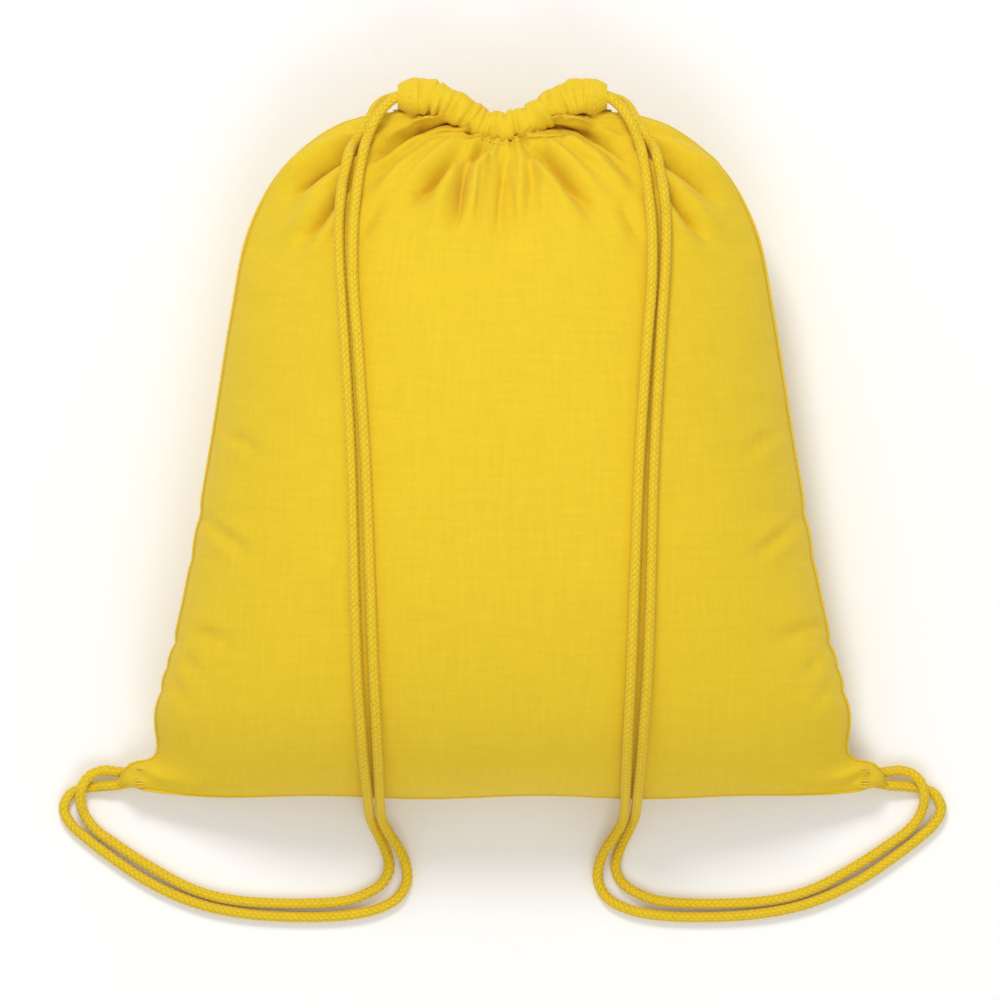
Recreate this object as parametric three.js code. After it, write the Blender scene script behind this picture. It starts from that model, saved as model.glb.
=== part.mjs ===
// A cotton drawstring backpack, filled and lying on its outer panel with the strap side up.
// Millimetres. +X runs across the bag, +Y towards the gathered mouth, +Z up from the surface.
// The origin is under the centre of the bag without its cords.
import * as THREE from 'three';

// ---- driving dimensions ------------------------------------------------------------------
const CLOTH = 1.0;              // thickness of a sewn cotton panel
const GAP = 0.35;               // gap kept between pieces that touch
const SEAM_HALF = 1.2;          // half of the slot between the panels, which the seams fill
const BOTTOM_Y = -173.9;        // bottom seam
const SEAM_Z = 54.5;            // height of the side seams where they reach the neck
const BOTTOM_SEAM_Z = 31;       // height of the bottom seam in its middle
const CROWN_Z = 122;            // highest point of the strap-side panel
const CROWN_Y = -22;            // where that point lies
const BELLY_Z = -16;            // depth the outer panel would sag to without the surface
const CASING = { width: 16, height: 15, wall: 1.5, halfLength: 48.5 };
const CASING_Z = { strapSide: 66, outer: 43 };
const EAR_Y = 166;              // casing centre line at its raised ends
const DIP = 13;                 // how far the casing dips in its middle
const DIP_HALF = 31;            // half of the length that dips
const CORD_R = 2.5;             // drawcord radius
const PAIR_R = 2.85;            // half the distance between the two cords in a tunnel
const CORD_SIDES = 8;
const CORD_STEP = 12;           // length of one step of a cord's tube
const RUN_STEP = 3.5;           // the same in a tunnel and round the tight bight
const STRAND_INNER_X = 32;      // where a strand begins inside its tunnel
const BIGHT_X = 51.9;           // where a cord turns back outside the far ear
const SEAM_WIDTH = 8;           // seam allowance left inside the bag
const THREAD_R = 0.5;           // a row of sewing thread
const THREAD_SIDES = 6;
const THREAD_STEP = 4;
const PANEL_COLS = 34;
const PANEL_ROWS = 30;
const CASING_STEPS = 24;
const CASING_SIDES = 16;
const SIDE_SEAM_SPAN = [0.15, 0.95];
const SIDE_SEAM_STEPS = 34;
const BOTTOM_SEAM_REACH = 0.7;  // share of the bottom edge that the bottom seam runs along
const BOTTOM_SEAM_STEPS = 40;
const HEM = { v: 0.985, reach: 0.84, points: 25 };              // rows of stitches below the casings
const MOUTH_STITCH = { x: 44.5, arc: 2.45, points: 17 };        // stitches round a tunnel mouth
const MOUTH_TACK = [[46.5, 158], [53.2, 158]];                  // from x, y to x, y
const CORNER_TACK = [[0.965, 0.003], [0.97, 0.014], [0.97, 0.026]]; // u, v on the panel
// Points of a bight: x, and how far above or below the middle of the two casings.
const BIGHT = [[49.9, 8], [BIGHT_X, 5], [BIGHT_X, 0], [BIGHT_X, -5], [49.9, -8]];
const RUN_POINTS = 17;
const RUN_END = 2.5;            // how far inside the far mouth a run turns into its bight
const SIDES = [['left', -1], ['right', 1]];

// How far up the bag, from 0 to 1, its section stays low, and where it starts to meet the neck.
const BOTTOM_BLEND_V = 0.12;
const NECK_BLEND_V = 0.72;
const NECK_DIP_V = 0.6;

const NECK_Y = EAR_Y - CASING.width / 2 - GAP;

// The side seam on +X, from the bottom corner tip to the neck.
const SIDE_SEAM = [
  [187, -168.5, 6.5], [181, -160, 9], [171.5, -154.5, 17], [168.5, -134, 31], [156, -83, 44],
  [142, -6, 49], [131.5, 60, 51], [123, 101, 52.5], [107, 130, 53.5], [83, 149.6, 54],
  [66, 155.6, 54.3], [54, NECK_Y, SEAM_Z],
];

// ---- materials ---------------------------------------------------------------------------
const CLOTH_COLOUR = 0xf2cc3a;
const CORD_COLOUR = 0xdcb92e;
const THREAD_COLOUR = 0xf0cf48;
const CLOTH_ROUGHNESS = 0.9;
const CORD_ROUGHNESS = 0.85;
const THREAD_ROUGHNESS = 0.75;

function matt(colour, roughness) {
  return new THREE.MeshStandardMaterial({ color: colour, roughness, metalness: 0 });
}

const model = new THREE.Group();

function addMesh(name, geometry, colour, roughness) {
  const mesh = new THREE.Mesh(geometry, matt(colour, roughness));
  mesh.name = name;
  model.add(mesh);
}

// ---- small maths -------------------------------------------------------------------------
const { lerp, smoothstep } = THREE.MathUtils;

function toVectors(points) {
  return points.map((p) => new THREE.Vector3(...p));
}

// ---- the bag's shape ---------------------------------------------------------------------
const sideCurve = new THREE.CatmullRomCurve3(toVectors(SIDE_SEAM), false, 'centripetal');

// How far the casing's centre line lies below the ears at x.
function casingDip(x) {
  const along = Math.min(Math.abs(x) / DIP_HALF, 1);
  return DIP * 0.5 * (1 + Math.cos(Math.PI * along));
}

function casingY(x) {
  return EAR_Y - casingDip(x);
}

function casingSlope(x) {
  const side = 0.01;
  return (casingY(x + side) - casingY(x - side)) / (2 * side);
}

// Where the panels meet the casings: a line just below them, which follows their dip.
function neckLineY(x) {
  const reach = CASING.width / 2 + GAP;
  return casingY(x) - reach * Math.hypot(1, casingSlope(x));
}

// Height of a panel's middle line at y: it rises from the bottom seam and falls to the neck.
function middleHeight(y, far, neckZ) {
  const towardsBottom = y < CROWN_Y;
  const end = towardsBottom
    ? { y: BOTTOM_Y, z: BOTTOM_SEAM_Z, power: 2.6, roundness: 0.58 }
    : { y: NECK_Y - DIP, z: neckZ, power: 2.2, roundness: 0.85 };
  const along = Math.min((y - CROWN_Y) / (end.y - CROWN_Y), 1);
  return lerp(end.z, far, (1 - along ** end.power) ** end.roundness);
}

// How much of the middle line's height a panel keeps at u: round in the body of the bag, low
// along the bottom seam and nearly flat at the neck.
function sectionHeight(u, bottomBlend, neckBlend) {
  const across = Math.abs(u);
  const round = (1 - across ** 2.3) ** 0.62;
  const low = 1 - across ** 3;
  const neck = (1 - across ** 9) ** 0.5;
  return lerp(lerp(round, low, bottomBlend), neck, neckBlend);
}

// A point on a panel. u runs from -1 to 1 across the bag, v from 0 at the bottom to 1 at the neck.
function panelPoint(u, v, far, neckZ) {
  const side = sideCurve.getPointAt(v);
  const x = u * side.x;
  const bottomBlend = 1 - smoothstep(v, 0, BOTTOM_BLEND_V);
  const neckBlend = smoothstep(v, NECK_BLEND_V, 1) ** 2;
  const bottomPull = bottomBlend * (1 - Math.abs(u) ** 8);
  const neckDip = (NECK_Y - neckLineY(x)) * smoothstep(v, NECK_DIP_V, 1) ** 1.5;
  const y = lerp(side.y, BOTTOM_Y, bottomPull) - neckDip;
  const section = sectionHeight(u, bottomBlend, neckBlend);
  return new THREE.Vector3(x, y, lerp(side.z, middleHeight(y, far, neckZ), section));
}

// The outside of each panel. The outer one lies flat where it meets the surface.
function strapSidePanel(u, v) {
  const point = panelPoint(u, v, CROWN_Z - SEAM_HALF, CASING_Z.strapSide - SEAM_HALF);
  point.z += SEAM_HALF;
  return point;
}

function outerPanel(u, v) {
  const point = panelPoint(u, v, BELLY_Z, CASING_Z.outer + SEAM_HALF);
  point.z = Math.max(point.z - SEAM_HALF, 0);
  return point;
}

function panelNormal(shape, u, v) {
  const d = 1e-3;
  const u0 = Math.max(u - d, -1);
  const u1 = Math.min(u + d, 1);
  const v0 = Math.max(v - d, 0);
  const v1 = Math.min(v + d, 1);
  const du = shape(u1, v).sub(shape(u0, v));
  const dv = shape(u, v1).sub(shape(u, v0));
  return du.cross(dv).normalize();
}

// ---- solids ------------------------------------------------------------------------------
// A closed sheet between two grids of points, both with rows of the same length.
function sheetBetween(upper, lower) {
  const rows = upper.length;
  const cols = upper[0].length;
  const positions = [...upper.flat(), ...lower.flat()].flatMap((p) => p.toArray());
  const top = (r, c) => r * cols + c;
  const under = (r, c) => rows * cols + r * cols + c;
  const index = [];
  const quad = (a, b, c, d) => index.push(a, b, c, a, c, d);
  for (let r = 0; r < rows - 1; r += 1) {
    for (let c = 0; c < cols - 1; c += 1) {
      quad(top(r, c), top(r, c + 1), top(r + 1, c + 1), top(r + 1, c));
      quad(under(r, c), under(r + 1, c), under(r + 1, c + 1), under(r, c + 1));
    }
  }
  for (let c = 0; c < cols - 1; c += 1) {
    quad(top(0, c), under(0, c), under(0, c + 1), top(0, c + 1));
    quad(top(rows - 1, c), top(rows - 1, c + 1), under(rows - 1, c + 1), under(rows - 1, c));
  }
  for (let r = 0; r < rows - 1; r += 1) {
    quad(top(r, 0), top(r + 1, 0), under(r + 1, 0), under(r, 0));
    quad(top(r, cols - 1), under(r, cols - 1), under(r + 1, cols - 1), top(r + 1, cols - 1));
  }
  const geometry = new THREE.BufferGeometry();
  geometry.setAttribute('position', new THREE.Float32BufferAttribute(positions, 3));
  geometry.setIndex(index);
  geometry.computeVertexNormals();
  return geometry;
}

// Parameters bunched towards both ends, where a panel curves most.
function spread(n, low, high) {
  return Array.from({ length: n + 1 }, (_, i) => {
    const even = i / n;
    const bunched = 0.5 - 0.5 * Math.cos(Math.PI * even);
    return lerp(low, high, lerp(even, bunched, 0.7));
  });
}

// side is 1 when the panel's outside faces up and -1 when it faces down.
function panelShell(shape, side) {
  const us = spread(PANEL_COLS, -1, 1);
  const vs = spread(PANEL_ROWS, 0, 1);
  const outside = vs.map((v) => us.map((u) => shape(u, v)));
  const inside = vs.map((v) => us.map((u) => {
    const inward = panelNormal(shape, u, v).multiplyScalar(-side * CLOTH);
    return shape(u, v).add(inward);
  }));
  return side > 0 ? sheetBetween(outside, inside) : sheetBetween(inside, outside);
}

// A solid made of rings of points. Each ring is one closed loop, and the loops are joined in order.
// Where joinEnds is true the last ring meets the first; otherwise flat caps close both ends.
function ringSolid(rings, joinEnds) {
  const count = rings[0].length;
  const index = [];
  const last = rings.length - 1;
  for (let i = 0; i < (joinEnds ? rings.length : last); i += 1) {
    for (let k = 0; k < count; k += 1) {
      const a = i * count + k;
      const b = i * count + ((k + 1) % count);
      const c = ((i + 1) % rings.length) * count + ((k + 1) % count);
      const d = ((i + 1) % rings.length) * count + k;
      index.push(a, b, c, a, c, d);
    }
  }
  if (!joinEnds) {
    for (let k = 1; k < count - 1; k += 1) {
      index.push(0, k + 1, k);
      index.push(last * count, last * count + k, last * count + k + 1);
    }
  }
  const geometry = new THREE.BufferGeometry();
  const positions = rings.flat().flatMap((p) => p.toArray());
  geometry.setAttribute('position', new THREE.Float32BufferAttribute(positions, 3));
  geometry.setIndex(index);
  geometry.computeVertexNormals();
  return geometry;
}

function roundSection(radius, sides) {
  const corners = Array.from({ length: sides }, (_, k) => {
    const angle = (2 * Math.PI * k) / sides;
    return new THREE.Vector2(radius * Math.cos(angle), radius * Math.sin(angle));
  });
  return new THREE.Shape(corners);
}

// A round bar, cord or thread along a smooth line through points.
function tube(points, radius, sides, step) {
  const path = new THREE.CatmullRomCurve3(points, false, 'centripetal');
  const steps = Math.max(2, Math.round(path.getLength() / step));
  return new THREE.ExtrudeGeometry(roundSection(radius, sides), { steps, extrudePath: path });
}

function cordTube(points, step) {
  return tube(points, CORD_R, CORD_SIDES, step);
}

function threadTube(points) {
  return tube(points, THREAD_R, THREAD_SIDES, THREAD_STEP);
}

// ---- panels and casings ------------------------------------------------------------------
function addPanels() {
  addMesh('strap_side_panel', panelShell(strapSidePanel, 1), CLOTH_COLOUR, CLOTH_ROUGHNESS);
  addMesh('outer_panel', panelShell(outerPanel, -1), CLOTH_COLOUR, CLOTH_ROUGHNESS);
}

// The casing's cross-section at x, inset from its outside, as a ring of points.
function casingRing(x, z, inset) {
  const across = new THREE.Vector3(-casingSlope(x), 1, 0).normalize();
  return Array.from({ length: CASING_SIDES }, (_, k) => {
    const angle = (2 * Math.PI * k) / CASING_SIDES;
    const point = new THREE.Vector3(x, casingY(x), z);
    point.addScaledVector(across, (CASING.width / 2 - inset) * Math.cos(angle));
    point.z += (CASING.height / 2 - inset) * Math.sin(angle);
    return point;
  });
}

// A sewn tunnel: an oval tube of cloth, open right through. Its skin runs out and back.
function casingTube(z) {
  const xs = Array.from({ length: CASING_STEPS + 1 }, (_, i) => (
    lerp(-CASING.halfLength, CASING.halfLength, i / CASING_STEPS)));
  const outside = xs.map((x) => casingRing(x, z, 0));
  const inside = xs.map((x) => casingRing(x, z, CASING.wall)).reverse();
  return ringSolid([...outside, ...inside], true);
}

function addCasings() {
  addMesh('strap_side_casing', casingTube(CASING_Z.strapSide), CLOTH_COLOUR, CLOTH_ROUGHNESS);
  addMesh('outer_casing', casingTube(CASING_Z.outer), CLOTH_COLOUR, CLOTH_ROUGHNESS);
}

// ---- seams and stitching -----------------------------------------------------------------
// A flat strip of sewn cloth edges. Each station is a point on its rim and the way inwards.
function seamStrip(stations) {
  const half = SEAM_HALF - GAP;
  const rings = stations.map(({ rim, inwards }) => {
    const inner = rim.clone().addScaledVector(inwards, SEAM_WIDTH);
    const up = new THREE.Vector3(0, 0, half);
    return [rim.clone().sub(up), inner.clone().sub(up), inner.clone().add(up), rim.clone().add(up)];
  });
  return ringSolid(rings, false);
}

function sideSeam(mirror) {
  const stations = Array.from({ length: SIDE_SEAM_STEPS + 1 }, (_, i) => {
    const v = lerp(...SIDE_SEAM_SPAN, i / SIDE_SEAM_STEPS);
    const rim = sideCurve.getPointAt(v);
    const along = sideCurve.getTangentAt(v);
    const inwards = new THREE.Vector3(-along.y, along.x, 0).normalize();
    return { rim: rim.setX(rim.x * mirror), inwards: inwards.setX(inwards.x * mirror) };
  });
  return seamStrip(mirror > 0 ? stations : stations.reverse());
}

function bottomSeam() {
  const stations = Array.from({ length: BOTTOM_SEAM_STEPS + 1 }, (_, i) => {
    const u = lerp(-BOTTOM_SEAM_REACH, BOTTOM_SEAM_REACH, i / BOTTOM_SEAM_STEPS);
    const rim = strapSidePanel(u, 0);
    rim.z -= SEAM_HALF;
    return { rim, inwards: new THREE.Vector3(0, 1, 0) };
  });
  return seamStrip(stations);
}

// A place for thread on the outside of a panel. side is 1 on the upper panel, -1 on the lower.
function onPanel(shape, side, u, v) {
  return shape(u, v).addScaledVector(panelNormal(shape, u, v), side * (THREAD_R + GAP));
}

// A row of thread just below a casing.
function hemStitching(shape, side) {
  const points = Array.from({ length: HEM.points }, (_, i) => {
    const u = lerp(-HEM.reach, HEM.reach, i / (HEM.points - 1));
    return onPanel(shape, side, u, HEM.v);
  });
  return threadTube(points);
}

// The stitching round a tunnel mouth, open on the side where the panel joins the casing.
function mouthStitching(x, z) {
  const reach = THREAD_R + GAP;
  const points = Array.from({ length: MOUTH_STITCH.points }, (_, i) => {
    const angle = lerp(-MOUTH_STITCH.arc, MOUTH_STITCH.arc, i / (MOUTH_STITCH.points - 1));
    return new THREE.Vector3(
      x,
      casingY(x) + (CASING.width / 2 + reach) * Math.cos(angle),
      z + (CASING.height / 2 + reach) * Math.sin(angle),
    );
  });
  return threadTube(points);
}

function addSeams() {
  for (const [sideName, mirror] of SIDES) {
    addMesh(`${sideName}_side_seam`, sideSeam(mirror), CLOTH_COLOUR, CLOTH_ROUGHNESS);
    const [from, to] = MOUTH_TACK.map(([x, y]) => new THREE.Vector3(x * mirror, y, SEAM_Z));
    const mouthTack = tube([from, to], SEAM_HALF - GAP, THREAD_SIDES, THREAD_STEP);
    addMesh(`${sideName}_mouth_tack`, mouthTack, THREAD_COLOUR, THREAD_ROUGHNESS);
    const tack = CORNER_TACK.map(([u, v]) => onPanel(strapSidePanel, 1, u * mirror, v));
    addMesh(`${sideName}_corner_tack`, threadTube(tack), THREAD_COLOUR, THREAD_ROUGHNESS);
    for (const [panelName, z] of Object.entries(CASING_Z)) {
      const name = `${panelName === 'outer' ? 'outer' : 'strap_side'}_${sideName}_mouth_stitching`;
      addMesh(name, mouthStitching(mirror * MOUTH_STITCH.x, z), THREAD_COLOUR, THREAD_ROUGHNESS);
    }
  }
  addMesh('bottom_seam', bottomSeam(), CLOTH_COLOUR, CLOTH_ROUGHNESS);
  addMesh('strap_side_hem_stitching', hemStitching(strapSidePanel, 1),
    THREAD_COLOUR, THREAD_ROUGHNESS);
  addMesh('outer_hem_stitching', hemStitching(outerPanel, -1), THREAD_COLOUR, THREAD_ROUGHNESS);
}

// ---- drawcords ---------------------------------------------------------------------------
// The right cord's free stretches. The left cord mirrors them. Each strand comes out of a tunnel
// and lies on the strap-side panel, and its tail goes on over the bottom edge and round to the
// corner, where it is sewn in.
const INNER_STRAND = [
  [STRAND_INNER_X, 166, 68.85], [50, 165.8, 68.9], [56, 162, 70.3], [61.3, 155, 72.6],
  [65.2, 146.5, 73.2], [67.8, 137.5, 74], [70.2, 123, 81.4], [72.2, 103, 90.7],
  [72.3, 77.4, 100.7], [69.6, 42, 110.7], [66.2, -10, 117.6], [64.2, -60, 117.4],
  [62.5, -108, 107.9], [61.2, -136, 93.8], [60.6, -150, 83.2],
];
const INNER_TAIL = [
  [60.5, -150.6, 82.6], [60.2, -160, 72.8], [59.9, -169, 58.8], [59.7, -176, 43.5],
  [59.4, -180.5, 29.5], [58.6, -185.6, 17.5], [55.6, -191.8, 10], [51, -198.8, 7],
  [47.4, -206.6, 4.4], [46.6, -215.5, 2.8], [51, -223.6, 2.7], [60.4, -228.9, 2.7],
  [75, -232.1, 2.7], [98, -233.1, 2.7], [127.3, -231.2, 2.7], [151, -225.8, 2.7],
  [173, -215.7, 2.7], [192, -203, 2.7], [203.4, -194.2, 2.7], [210.3, -187.8, 2.7],
  [213.8, -180.4, 2.7], [210.6, -173.2, 2.7], [204, -170.4, 2.7], [196.6, -169.4, 3.6],
  [188.8, -168.9, 6.2],
];
const OUTER_STRAND = [
  [STRAND_INNER_X, 166, 40.15], [50, 166, 40.2], [55.6, 165, 43], [59.8, 162.6, 51],
  [62.6, 158.8, 62], [65.2, 153.6, 68.2], [69.6, 146.6, 67.6], [73.6, 140.2, 70.4],
  [76.6, 128, 77], [78.9, 110, 85.9], [78.8, 86, 95.5], [76.9, 57, 104.6], [73.2, -8, 114.9],
  [71.2, -82, 112.7], [70, -115, 103.6], [68.4, -139, 90], [67.7, -150, 82],
];
const OUTER_TAIL = [
  [67.6, -150.6, 81.5], [66.7, -162, 70.2], [65.9, -170, 57], [65.4, -176, 43.5],
  [65, -180.3, 29.5], [64.2, -184.8, 16.5], [61.8, -190.4, 6.8], [58.6, -196.8, 3.2],
  [56.2, -203, 2.7], [55.2, -209.5, 2.7], [58.6, -216.6, 2.7], [66.2, -221.6, 2.7],
  [78, -225.4, 2.7], [127.3, -225.3, 2.7], [150.1, -219.9, 2.7], [171, -209, 2.7],
  [187.5, -198.3, 2.7], [198.2, -190.4, 2.8], [203.4, -183.6, 3.6], [205.6, -176, 7],
  [204.6, -168.8, 9], [200.6, -163.8, 9.6], [194.4, -161.6, 9.4], [187, -162.4, 8.8],
];

// The right cord's place in a tunnel at x. It leaves on +X outside its neighbour and goes round
// the far ear inside it, so the two cords trade places on the way, each on its own side in y.
function tunnelPoint(x, ySide, zSide) {
  const angle = Math.PI * (0.5 - smoothstep(-x, 1 - DIP_HALF, DIP_HALF - 1));
  const middle = zSide > 0 ? CASING_Z.strapSide : CASING_Z.outer;
  return new THREE.Vector3(
    x,
    casingY(x) + ySide * PAIR_R * Math.cos(angle),
    middle + zSide * PAIR_R * Math.sin(angle),
  );
}

// The hidden stretch of the right cord: through one tunnel, round the far ear and back.
function tunnelRun(ySide) {
  const xs = Array.from({ length: RUN_POINTS }, (_, i) => (
    lerp(STRAND_INNER_X - 1, RUN_END - CASING.halfLength, i / (RUN_POINTS - 1))));
  const strapSide = xs.map((x) => tunnelPoint(x, ySide, 1));
  const outer = xs.map((x) => tunnelPoint(x, ySide, -1)).reverse();
  const middleZ = (CASING_Z.strapSide + CASING_Z.outer) / 2;
  const bight = BIGHT.map(([x, rise]) => new THREE.Vector3(-x, EAR_Y, middleZ + rise));
  return [...strapSide, ...bight, ...outer];
}

function addCords() {
  for (const [sideName, mirror] of SIDES) {
    const stretches = {
      inner_strand: toVectors(INNER_STRAND),
      inner_tail: toVectors(INNER_TAIL),
      outer_strand: toVectors(OUTER_STRAND),
      outer_tail: toVectors(OUTER_TAIL),
      tunnel_run: tunnelRun(mirror),
    };
    for (const [stretch, points] of Object.entries(stretches)) {
      const placed = points.map((point) => point.setX(point.x * mirror));
      const tubeOfCord = cordTube(placed, stretch === 'tunnel_run' ? RUN_STEP : CORD_STEP);
      addMesh(`${sideName}_cord_${stretch}`, tubeOfCord, CORD_COLOUR, CORD_ROUGHNESS);
    }
  }
}

addPanels();
addCasings();
addSeams();
addCords();

export default model;
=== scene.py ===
"""The looks of a cotton drawstring backpack: cloth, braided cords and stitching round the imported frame."""

from __future__ import annotations

import logging
import math
from dataclasses import dataclass, field
from enum import Enum

import bmesh
import bpy
import numpy as np
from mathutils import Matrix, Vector
from mathutils.bvhtree import BVHTree


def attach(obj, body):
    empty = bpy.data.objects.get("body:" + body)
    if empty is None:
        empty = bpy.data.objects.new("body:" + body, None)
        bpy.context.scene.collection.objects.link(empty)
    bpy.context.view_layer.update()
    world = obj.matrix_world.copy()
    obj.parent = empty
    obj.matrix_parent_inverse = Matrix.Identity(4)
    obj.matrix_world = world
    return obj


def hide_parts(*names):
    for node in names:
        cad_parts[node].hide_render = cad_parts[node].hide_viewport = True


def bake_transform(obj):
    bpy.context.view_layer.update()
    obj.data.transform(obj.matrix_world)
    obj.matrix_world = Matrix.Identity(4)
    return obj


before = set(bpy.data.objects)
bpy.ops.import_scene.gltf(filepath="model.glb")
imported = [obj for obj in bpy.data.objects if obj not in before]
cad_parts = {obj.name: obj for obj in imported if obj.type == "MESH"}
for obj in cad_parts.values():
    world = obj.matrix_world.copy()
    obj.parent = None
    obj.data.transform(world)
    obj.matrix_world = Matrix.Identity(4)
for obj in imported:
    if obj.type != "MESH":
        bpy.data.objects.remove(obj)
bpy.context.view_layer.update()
LOG = logging.getLogger("backpack")
BAG = "bag"


class Face(Enum):
    """The two cloth panels, by the way that their outsides face."""

    STRAP_SIDE = 1
    OUTER = -1


class Hand(Enum):
    """The two sides of the bag, by the sign of x."""

    LEFT = -1
    RIGHT = 1

    @property
    def word(self) -> str:
        """The side's name in the names of nodes and bodies."""
        return self.name.lower()


Faces = list[tuple[int, ...]]
SPAN_STEPS = 24


# ---- small geometry ----------------------------------------------------------------------
def smoothstep(value: np.ndarray | float, low: float, high: float) -> np.ndarray:
    """Rise smoothly from 0 at low to 1 at high.

    Args:
        value: The numbers to map.
        low: Where the rise starts.
        high: Where it ends.

    Returns:
        The mapped numbers, from 0 to 1.
    """
    t = np.clip((np.asarray(value, float) - low) / (high - low), 0.0, 1.0)
    return t * t * (3.0 - 2.0 * t)


def smooth_line(points: np.ndarray, step: float) -> np.ndarray:
    """Draw a centripetal Catmull-Rom curve through points, at even steps.

    Args:
        points: The points that the curve goes through, one row each.
        step: The distance between neighbouring points of the result.

    Returns:
        Points along the curve, one row each.
    """
    knots = np.array([2 * points[0] - points[1], *points, 2 * points[-1] - points[-2]])
    pieces = []
    for a, b, c, d in zip(knots, knots[1:], knots[2:], knots[3:]):
        t0 = 0.0
        t1 = t0 + math.sqrt(np.linalg.norm(b - a))
        t2 = t1 + math.sqrt(np.linalg.norm(c - b))
        t3 = t2 + math.sqrt(np.linalg.norm(d - c))
        t = np.linspace(t1, t2, SPAN_STEPS, endpoint=False)[:, None]
        ab = (t1 - t) / (t1 - t0) * a + (t - t0) / (t1 - t0) * b
        bc = (t2 - t) / (t2 - t1) * b + (t - t1) / (t2 - t1) * c
        cd = (t3 - t) / (t3 - t2) * c + (t - t2) / (t3 - t2) * d
        abc = (t2 - t) / (t2 - t0) * ab + (t - t0) / (t2 - t0) * bc
        bcd = (t3 - t) / (t3 - t1) * bc + (t - t1) / (t3 - t1) * cd
        pieces.append((t2 - t) / (t2 - t1) * abc + (t - t1) / (t2 - t1) * bcd)
    dense = np.vstack([*pieces, points[-1]])
    return even_steps(dense, step)


def lengths_along(line: np.ndarray) -> np.ndarray:
    """How far each point of a line is from its start, measured along it."""
    return np.concatenate([[0.0], np.cumsum(np.linalg.norm(np.diff(line, axis=0), axis=1))])


def even_steps(line: np.ndarray, step: float) -> np.ndarray:
    """Place points on a line at even distances.

    Args:
        line: The line's points, one row each.
        step: About how far apart the new points are.

    Returns:
        The new points, with both ends kept.
    """
    along = lengths_along(line)
    count = max(3, int(round(along[-1] / step)) + 1)
    at = np.linspace(0.0, along[-1], count)
    return np.stack([np.interp(at, along, line[:, axis]) for axis in range(3)], axis=1)


def line_frames(line: np.ndarray) -> tuple[np.ndarray, np.ndarray]:
    """Carry a pair of directions along a line without twisting them.

    Args:
        line: The line's points, one row each.

    Returns:
        Two arrays of unit vectors, both square to the line at each point.
    """
    tangents = np.gradient(line, axis=0)
    tangents /= np.linalg.norm(tangents, axis=1, keepdims=True)
    start = np.cross(tangents[0], [0.0, 0.0, 1.0])
    if np.linalg.norm(start) < 0.1:
        start = np.cross(tangents[0], [1.0, 0.0, 0.0])
    sides = [start / np.linalg.norm(start)]
    for tangent in tangents[1:]:
        side = sides[-1] - tangent * np.dot(sides[-1], tangent)
        sides.append(side / np.linalg.norm(side))
    first = np.array(sides)
    return first, np.cross(tangents, first)


def grid_faces(rows: int, cols: int, wrap: bool = False) -> Faces:
    """List the quads of a grid of points.

    Args:
        rows: How many rows of points there are.
        cols: How many points are in a row.
        wrap: Whether each row closes on itself.

    Returns:
        The quads, as tuples of point numbers.
    """
    faces = []
    last = cols if wrap else cols - 1
    for row in range(rows - 1):
        here = row * cols
        beyond = here + cols
        for col in range(last):
            right = (col + 1) % cols
            faces.append((here + col, here + right, beyond + right, beyond + col))
    return faces


def angles_round(sides: int) -> np.ndarray:
    """Even angles all round a tube."""
    return np.linspace(0, 2 * math.pi, sides, endpoint=False)


def tube_shape(line: np.ndarray, sizes: np.ndarray) -> tuple[np.ndarray, Faces]:
    """Skin a line with a tube that is closed at both ends.

    Args:
        line: The centre line's points, one row each.
        sizes: The tube's radius at each of those points and at each angle round it.

    Returns:
        The tube's points, one row each, and its faces.
    """
    rows, sides = sizes.shape
    first, second = line_frames(line)
    around = angles_round(sides)[None, :, None]
    out = np.cos(around) * first[:, None] + np.sin(around) * second[:, None]
    points = line[:, None] + out * sizes[..., None]
    faces = grid_faces(rows, sides, wrap=True)
    faces.append(tuple(range(sides))[::-1])
    faces.append(tuple((rows - 1) * sides + i for i in range(sides)))
    return points.reshape(-1, 3), faces


def new_piece(name: str, points: np.ndarray, faces: Faces) -> bpy.types.Object:
    """Make a mesh object at the origin.

    Args:
        name: The piece's name.
        points: Its points, one row each.
        faces: Its faces, as tuples of point numbers.

    Returns:
        The new object.
    """
    mesh = bpy.data.meshes.new(name)
    mesh.from_pydata([tuple(p) for p in points], [], faces)
    mesh.update()
    piece = bpy.data.objects.new(name, mesh)
    bpy.context.scene.collection.objects.link(piece)
    mesh.shade_smooth()
    return piece


def apply_modifiers(piece: bpy.types.Object) -> None:
    """Apply every modifier on a piece, in order."""
    bpy.ops.object.select_all(action="DESELECT")
    piece.select_set(True)
    bpy.context.view_layer.objects.active = piece
    for modifier in list(piece.modifiers):
        bpy.ops.object.modifier_apply(modifier=modifier.name)


def face_outwards(piece: bpy.types.Object) -> None:
    """Turn a piece's faces outwards. Its points are shared, so none are doubled."""
    shell = bmesh.new()
    shell.from_mesh(piece.data)
    bmesh.ops.recalc_face_normals(shell, faces=shell.faces)
    shell.to_mesh(piece.data)
    shell.free()


def store_uv(piece: bpy.types.Object, uv: np.ndarray) -> None:
    """Store one UV place for each point of a piece, in metres of cloth or cord."""
    layer = piece.data.uv_layers.new(name="UVMap")
    corners = np.empty(len(piece.data.loops), int)
    piece.data.loops.foreach_get("vertex_index", corners)
    layer.data.foreach_set("uv", uv[corners].astype(np.float32).ravel())


def store_value(piece: bpy.types.Object, name: str, values: np.ndarray) -> None:
    """Store one number for each point of a piece."""
    attribute = piece.data.attributes.new(name, "FLOAT", "POINT")
    attribute.data.foreach_set("value", values.astype(np.float32))


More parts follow.
